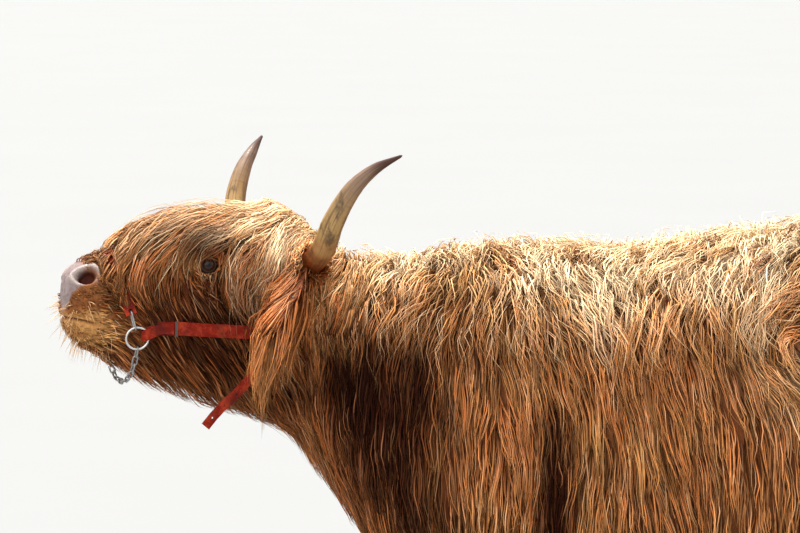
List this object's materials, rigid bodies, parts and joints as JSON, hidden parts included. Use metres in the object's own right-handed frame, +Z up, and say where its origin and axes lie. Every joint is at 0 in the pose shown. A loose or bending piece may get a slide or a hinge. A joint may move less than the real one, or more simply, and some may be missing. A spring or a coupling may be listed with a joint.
{
  "type": "highland cow",
  "caption": "Standing long-haired highland cow with upswept horns and a chain halter, a still life-size model that rests on its hooves.",
  "frame": {"origin": "on the ground, under the middle of the animal's box", "axes": "+Y from head to tail, +X to the animal's left side, +Z up"},
  "size_m": [0.7026, 2.0422, 1.3561],
  "materials": {
    "coat": "long wavy ginger hair, straw pale at the sunlit tips",
    "skin": "soft bare skin on nose and udder, short hair elsewhere",
    "horn": "satin horn, ivory and grey-brown with a dark tip",
    "hoof": "dull dark horn with growth lines",
    "eye": "wet dark brown eye",
    "strap": "worn coral red strap",
    "keeper": "dark keeper loop",
    "steel": "bright ring, duller chain"
  },
  "bodies": {
    "root": {"head": "coat", "neck": "coat", "trunk": "coat", "tail": "coat", "udder": "skin", "leg_front_left": "coat", "claw_front_left_outer": "hoof", "claw_front_left_inner": "hoof", "dewclaw_front_left_outer": "hoof", "dewclaw_front_left_inner": "hoof", "leg_front_right": "coat", "claw_front_right_outer": "hoof", "claw_front_right_inner": "hoof", "dewclaw_front_right_outer": "hoof", "dewclaw_front_right_inner": "hoof", "leg_hind_left": "coat", "claw_hind_left_outer": "hoof", "claw_hind_left_inner": "hoof", "dewclaw_hind_left_outer": "hoof", "dewclaw_hind_left_inner": "hoof", "leg_hind_right": "coat", "claw_hind_right_outer": "hoof", "claw_hind_right_inner": "hoof", "dewclaw_hind_right_outer": "hoof", "dewclaw_hind_right_inner": "hoof", "horn_left": "horn", "ear_left": "coat", "eye_left": "eye", "horn_right": "horn", "ear_right": "coat", "eye_right": "eye", "cheek_strap_left": "strap", "crown_strap": "strap", "cheek_strap_right": "strap", "ring_left": "steel", "strap_fold_left": "strap", "keeper_left": "keeper", "nose_link_left": "steel", "ring_right": "steel", "strap_fold_right": "strap", "keeper_right": "keeper", "nose_link_right": "steel", "noseband": "strap", "chain_link_1": "steel", "chain_link_2": "steel", "chain_link_3": "steel", "chain_link_4": "steel", "chain_link_5": "steel", "chain_link_6": "steel", "chain_link_7": "steel", "chain_link_8": "steel", "chain_link_9": "steel", "chain_link_10": "steel", "chain_link_11": "steel", "chain_link_12": "steel", "chain_link_13": "steel", "strap_end": "strap", "buckle": "steel"}
  },
  "joints": []
}
